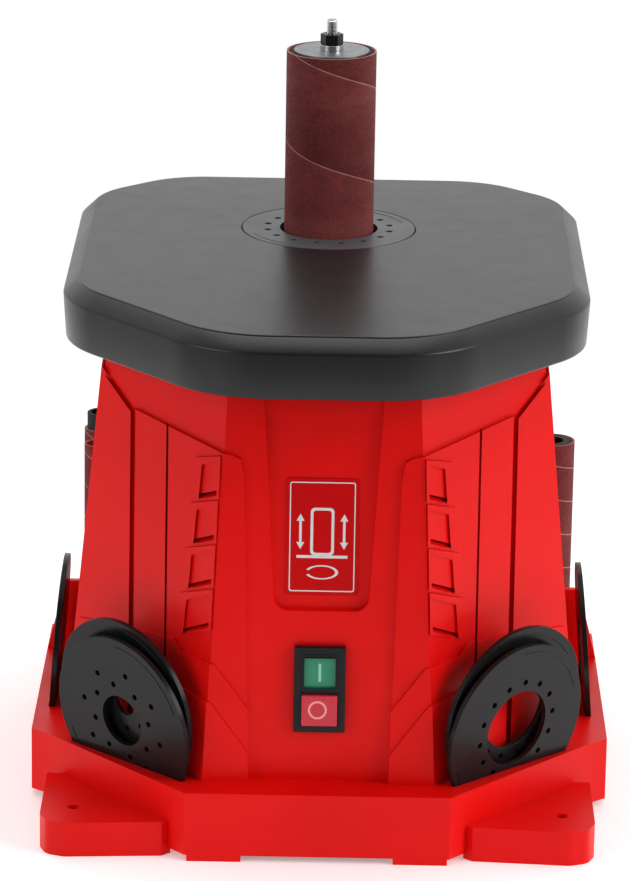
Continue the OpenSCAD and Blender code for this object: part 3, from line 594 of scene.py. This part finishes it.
def on_front(z):
    """A frame on the sloping front at height z: X to the right, Y up the face, Z outward."""
    slope = math.atan(BODY_LEAN / BODY_RISE)
    along = (z - BODY_Z) / math.cos(slope)
    right = Vector((1, 0, 0))
    up = Vector((0, math.sin(slope), math.cos(slope)))
    out = Vector((0, -math.cos(slope), math.sin(slope)))
    place = Vector((0, BODY_FRONT, BODY_Z)) + up * along
    turn = Matrix((right, up, out)).transposed().to_4x4()
    return Matrix.Translation(place * MM) @ turn @ Matrix.Scale(MM, 4)


def plate_from(outline, low, high, chamfer=0.0):
    """A flat plate in a local frame: its outline between two heights, with a chamfered upper edge."""
    rings = [[(x, y, low) for x, y in outline], [(x, y, high - chamfer) for x, y in outline]]
    if chamfer:
        middle = Vector((sum(x for x, _ in outline), sum(y for _, y in outline))) / len(outline)
        ring = []
        for x, y in outline:
            away = Vector((x, y)) - middle
            ring.append((*(middle + away * (1 - chamfer / away.length)), high))
        rings.append(ring)
    return capped(rings)


def ring_plate(inner, outer, low, high, centre, count=48):
    """A flat ring between two radii and two heights."""
    corners = ((inner, low), (outer, low), (outer, high), (inner, high))
    return loft([circle(r, count, z, centre) for r, z in corners])


def rounded_box(width, height, radius, centre=(0, 0), steps=6):
    points = []
    for cx, cy, start in ((1, -1, -90), (1, 1, 0), (-1, 1, 90), (-1, -1, 180)):
        for k in range(steps + 1):
            a = math.radians(start + 90 * k / steps)
            points.append((
                centre[0] + cx * (width / 2 - radius) + radius * math.cos(a),
                centre[1] + cy * (height / 2 - radius) + radius * math.sin(a),
            ))
    return points


def rectangle(left, right, bottom, top):
    return [(left, bottom), (right, bottom), (right, top), (left, top)]


def placed(name, parts, matrix, slot_name, body, material=None):
    mesh = join(name, parts)
    mesh.transform(matrix)
    mesh.materials.append(MATERIALS[material or slot_name].material)
    fix_normals(mesh)
    shade(mesh)
    return new_object(name, mesh, slot_name, body)


def frame_plate(outer, inner, low, high):
    """A closed border between two outlines of equally many points."""
    rings = [
        [(x, y, z) for x, y in line]
        for line, z in ((inner, low), (outer, low), (outer, high), (inner, high))
    ]
    return loft(rings)


def build_badge():
    """A plain badge with a generic pictogram: a drum, its stroke as two arrows, and a turning arrow."""
    floor = -4.0
    at = on_front(178)
    plate = placed(
        "badge_look", [plate_from(rounded_box(40, 66, 1.6), floor, floor + 0.8, 0.25)], at,
        "badge_film", "frame",
    )
    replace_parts(plate, "badge_plate")
    low, high = floor + 0.7, floor + 0.95
    border = rounded_box(36, 62, 1.4), rounded_box(34.8, 60.8, 1.0)
    drum = rounded_box(13, 27, 2.5, (0, 3)), rounded_box(10, 24, 1.6, (0, 3))
    marks = [frame_plate(*border, low, high), frame_plate(*drum, low, high)]
    shapes = [rectangle(-14, 14, -12, -10.4)]
    for x in (-12, 12):
        shapes.append(rectangle(x - 0.7, x + 0.7, -3, 9))
        shapes.append([(x - 2.2, 9), (x + 2.2, 9), (x, 13)])
        shapes.append([(x, -7), (x + 2.2, -3), (x - 2.2, -3)])
    inner, outer = (
        [
            (r * math.cos(math.radians(a)), 0.45 * r * math.sin(math.radians(a)) - 20)
            for a in range(200, 521, 10)
        ]
        for r in (7.4, 9)
    )
    for i in range(len(outer) - 1):
        shapes.append([inner[i], outer[i], outer[i + 1], inner[i + 1]])
    marks += [plate_from(shape, low, high) for shape in shapes]
    placed("badge_mark", marks, at, "badge_film", "frame", "badge_mark")


def build_switch():
    """Thin rims round the two buttons, a bar on the start button and a ring on the stop button."""
    at = on_front(93)
    start_y, stop_y = 9.6, -11.4
    rims = []
    for width, height, y, room in ((18.4, 18.4, start_y, -1.2), (19.8, 17.8, stop_y, 0.7)):
        for grow, low, high in ((2.8, 3.9, 4.4), (room + 0.9, 4.3, 5.0)):
            outer = rounded_box(width + grow, height + grow, 0.9, (0, y))
            inner = rounded_box(width + room, height + room, 0.6, (0, y))
            rims.append(frame_plate(outer, inner, low, high))
    placed("switch_rims", rims, at, "black_plastic", "frame")
    bar = plate_from(rounded_box(1.5, 10.4, 0.5, (0, start_y)), 2.9, 3.12)
    placed("start_mark", [bar], at, "green_plastic", "start", "start_ink")
    ring = ring_plate(4.05, 5.2, 6.4, 6.62, (-1, stop_y + 0.5))
    placed("stop_mark", [ring], at, "stop_plastic", "stop", "stop_ink")


build_badge()
build_switch()


# ---------- Stage ----------

def aim(obj, place, target):
    obj.location = place
    obj.rotation_euler = (Vector(target) - Vector(place)).to_track_quat("-Z", "Y").to_euler()


def area_light(name, place, size, power):
    """A square soft light aimed at the middle of the object."""
    light = bpy.data.lights.new(name, "AREA")
    light.shape = "RECTANGLE"
    light.size, light.size_y = size, size
    light.energy = power
    obj = bpy.data.objects.new(name, light)
    bpy.context.scene.collection.objects.link(obj)
    aim(obj, place, (0, 0, 0.2))


def add_camera():
    """The camera stands 2.5 m in front and looks down; lens and pose come from the table's outline."""
    pitch, yaw, roll = math.radians(17.14), math.radians(-0.30), math.radians(0.95)
    forward = Vector((
        math.sin(yaw) * math.cos(pitch), math.cos(yaw) * math.cos(pitch), -math.sin(pitch)
    ))
    level = forward.cross(Vector((0, 0, 1))).normalized()
    up = level.cross(forward)
    right = level * math.cos(roll) + up * math.sin(roll)
    top = up * math.cos(roll) - level * math.sin(roll)
    data = bpy.data.cameras.new("camera")
    data.lens = 182.5
    data.sensor_width = 36
    data.clip_end = 50
    camera = bpy.data.objects.new("camera", data)
    bpy.context.scene.collection.objects.link(camera)
    turn = Matrix((right, top, -forward)).transposed().to_4x4()
    camera.matrix_world = Matrix.Translation((0.0076, -2.4717, 0.9495)) @ turn
    bpy.context.scene.camera = camera


def add_stage():
    span = 0.8
    floor = mesh_of("floor", [
        (-span, -span, 0), (span, -span, 0), (span, span, 0), (-span, span, 0)
    ], [(0, 1, 2, 3)])
    m = Shader("floor_paper", (0.90, 0.90, 0.90), 0.75)
    m.shader.inputs["Emission Color"].default_value = (1, 1, 1, 1)
    m.shader.inputs["Emission Strength"].default_value = 0.30
    m.mix_color(m.ramp(m.noise(4, 3), 0.3, 0.7, 0, 0.1), m.rgb((0.82, 0.82, 0.83)))
    m.bump(m.noise(300, 2), 0.0002, 0.1)
    floor.materials.append(m.done())
    obj = bpy.data.objects.new("floor", floor)
    bpy.context.scene.collection.objects.link(obj)
    bpy.context.scene.world = studio_world()
    bpy.context.scene.view_settings.view_transform = "Standard"


def studio_world(front=0.12, back=0.98):
    """White surroundings that are bright behind the object and dim on the operator's side."""
    world = bpy.data.worlds.new("studio")
    world.use_nodes = True
    tree = world.node_tree
    background = tree.nodes["Background"]
    background.inputs["Color"].default_value = (1, 1, 1, 1)
    coords = tree.nodes.new("ShaderNodeTexCoord")
    split = tree.nodes.new("ShaderNodeSeparateXYZ")
    tree.links.new(coords.outputs["Generated"], split.inputs[0])
    grade = tree.nodes.new("ShaderNodeMapRange")
    grade.interpolation_type = "SMOOTHSTEP"
    grade.inputs["From Min"].default_value = -0.7
    grade.inputs["From Max"].default_value = 0.8
    grade.inputs["To Min"].default_value = front
    grade.inputs["To Max"].default_value = back
    tree.links.new(split.outputs["Y"], grade.inputs["Value"])
    seen = tree.nodes.new("ShaderNodeLightPath")
    mix = tree.nodes.new("ShaderNodeMix")
    mix.inputs["B"].default_value = 1.0
    tree.links.new(seen.outputs["Is Camera Ray"], mix.inputs["Factor"])
    tree.links.new(grade.outputs[0], mix.inputs["A"])
    tree.links.new(mix.outputs["Result"], background.inputs["Strength"])
    return world


add_camera()
add_stage()
area_light("key", (2.3, -1.0, 1.2), 1.4, 40)
area_light("fill", (-2.0, -1.5, 1.1), 1.4, 19)
area_light("top", (0, 0.4, 2.2), 1.8, 18)
